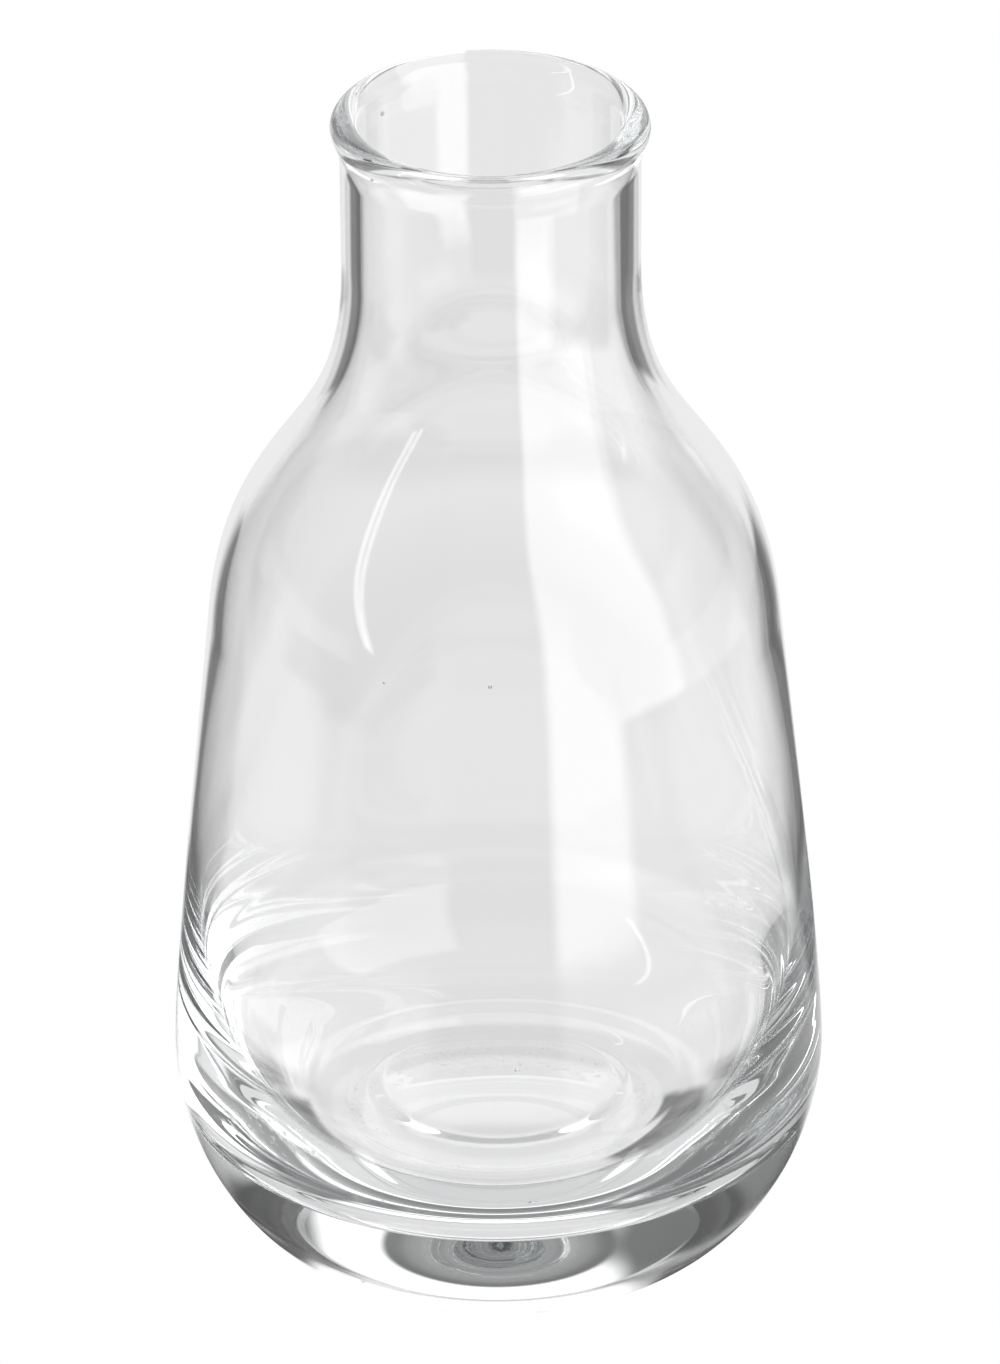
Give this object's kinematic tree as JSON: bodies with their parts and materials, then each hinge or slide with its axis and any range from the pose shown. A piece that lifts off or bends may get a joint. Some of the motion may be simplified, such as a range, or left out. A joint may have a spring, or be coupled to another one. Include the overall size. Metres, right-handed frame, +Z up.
{
  "type": "glass bud vase",
  "caption": "Small clear glass vase with a thick rounded base, a sloping body, an S-curved shoulder and a straight narrow neck with a rounded lip, for single stems.",
  "frame": {"origin": "centre of the ring the vase stands on, in the plane of the table", "axes": "+Z up along the axis of the vase and out of its mouth; the vase is round, so X and Y are free, and the front faces -Y"},
  "size_m": [0.079, 0.079, 0.15],
  "materials": {
    "clear_glass": "polished clear glass, very faintly cool"
  },
  "bodies": {
    "root": {"vase_glass": "clear_glass"}
  },
  "joints": []
}
